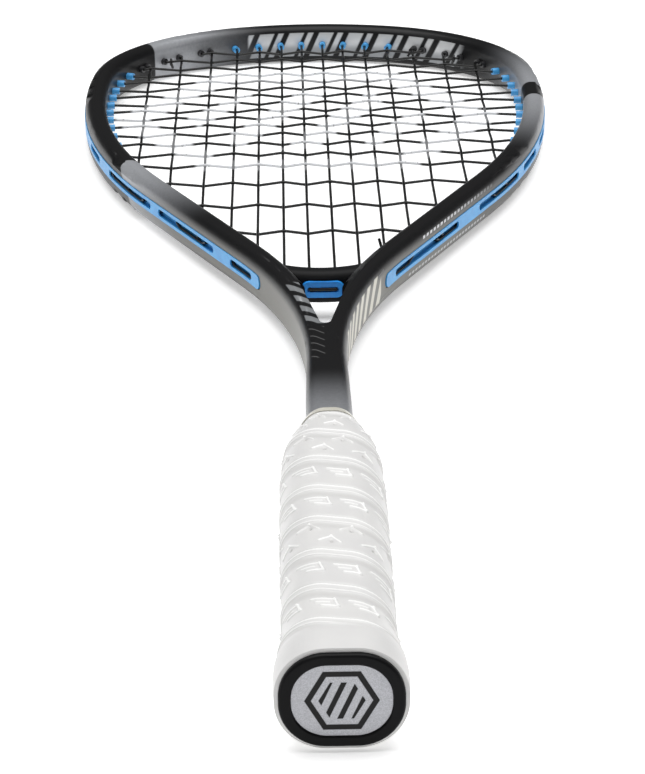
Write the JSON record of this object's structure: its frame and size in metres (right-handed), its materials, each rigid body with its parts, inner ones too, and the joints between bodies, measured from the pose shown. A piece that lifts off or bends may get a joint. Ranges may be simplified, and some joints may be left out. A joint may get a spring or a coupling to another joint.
{
  "type": "squash racket",
  "caption": "Teardrop squash racket: hollow carbon hoop with open throat and bridge, woven string bed, grommet strips, foam handle with wrapped grip and butt cap.",
  "frame": {"origin": "centre of the flat end face of the butt cap, in the plane of the string bed", "axes": "+Y along the racket from the butt to the tip of the head, +Z normal to the string bed, +X to the right"},
  "size_m": [0.2136, 0.686, 0.0308],
  "materials": {
    "carbon": "satin clear-coated carbon composite, black with silver fades",
    "blue_nylon": "moulded nylon, satin",
    "bumper_nylon": "moulded nylon, satin",
    "string": "coated multifilament nylon",
    "foam": "expanded foam",
    "grip": "soft embossed polyurethane",
    "tape": "thin adhesive film",
    "cap_plastic": "glossy",
    "badge": "silver metallic lacquer, fine sparkle",
    "steel_wire": "bright wire"
  },
  "bodies": {
    "root": {"frame_tube": "carbon", "throat_bridge": "carbon", "foam_insert_right": "foam", "foam_insert_left": "foam", "bumper_guard": "bumper_nylon", "crown_grommet_strip": "blue_nylon", "side_grommet_strip_right": "blue_nylon", "side_grommet_strip_left": "blue_nylon", "bridge_grommet": "blue_nylon", "main_strings": "string", "cross_strings": "string", "main_string_loops": "string", "cross_string_loops": "string", "tie_off_knots": "string", "handle_pallet": "foam", "butt_cap": "cap_plastic", "butt_badge": "badge", "grip_wrap": "grip", "grip_finishing_tape": "tape", "butt_cap_staples": "steel_wire"}
  },
  "joints": []
}
